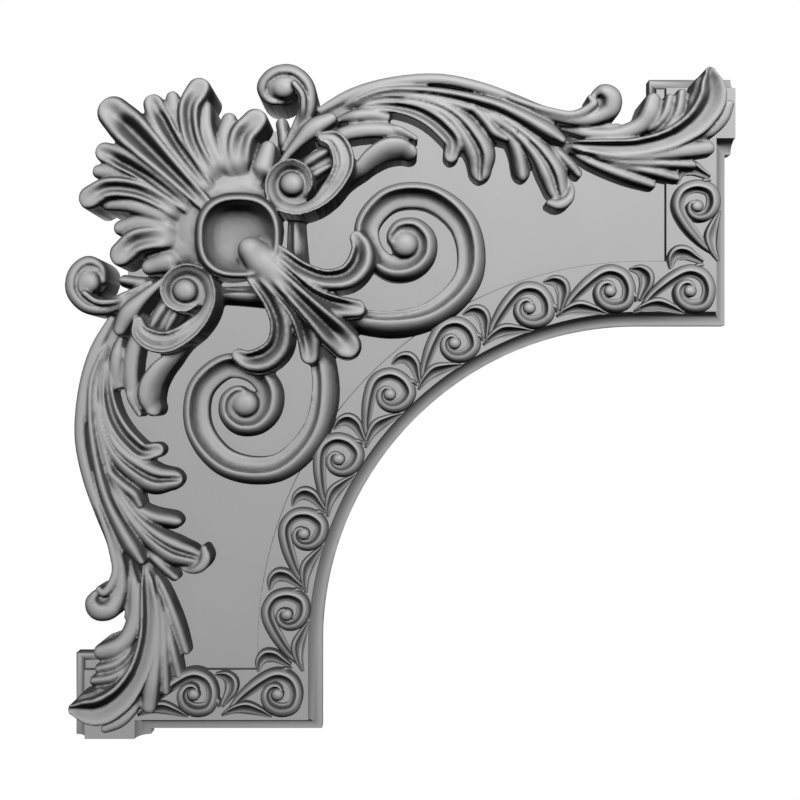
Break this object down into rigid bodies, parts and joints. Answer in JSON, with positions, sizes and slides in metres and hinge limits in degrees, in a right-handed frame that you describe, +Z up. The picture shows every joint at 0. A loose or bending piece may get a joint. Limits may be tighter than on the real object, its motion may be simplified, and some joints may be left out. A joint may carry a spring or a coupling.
{
  "type": "corner moulding",
  "caption": "Carved corner moulding with an arched inner edge, running scroll border, acanthus leaves, C-scrolls and a shell with a drooping leaf.",
  "frame": {"origin": "on the flat back, behind the middle of the square where the two arms meet", "axes": "+X along the upper arm to the right, +Z up, the carved front faces -Y and the flat back faces +Y at Y = 0"},
  "size_m": [0.3983, 0.0468, 0.3998],
  "materials": {
    "carved_wood": "carved wood with a thin satin grey priming coat"
  },
  "bodies": {
    "root": {"corner_moulding": "carved_wood"}
  },
  "joints": []
}
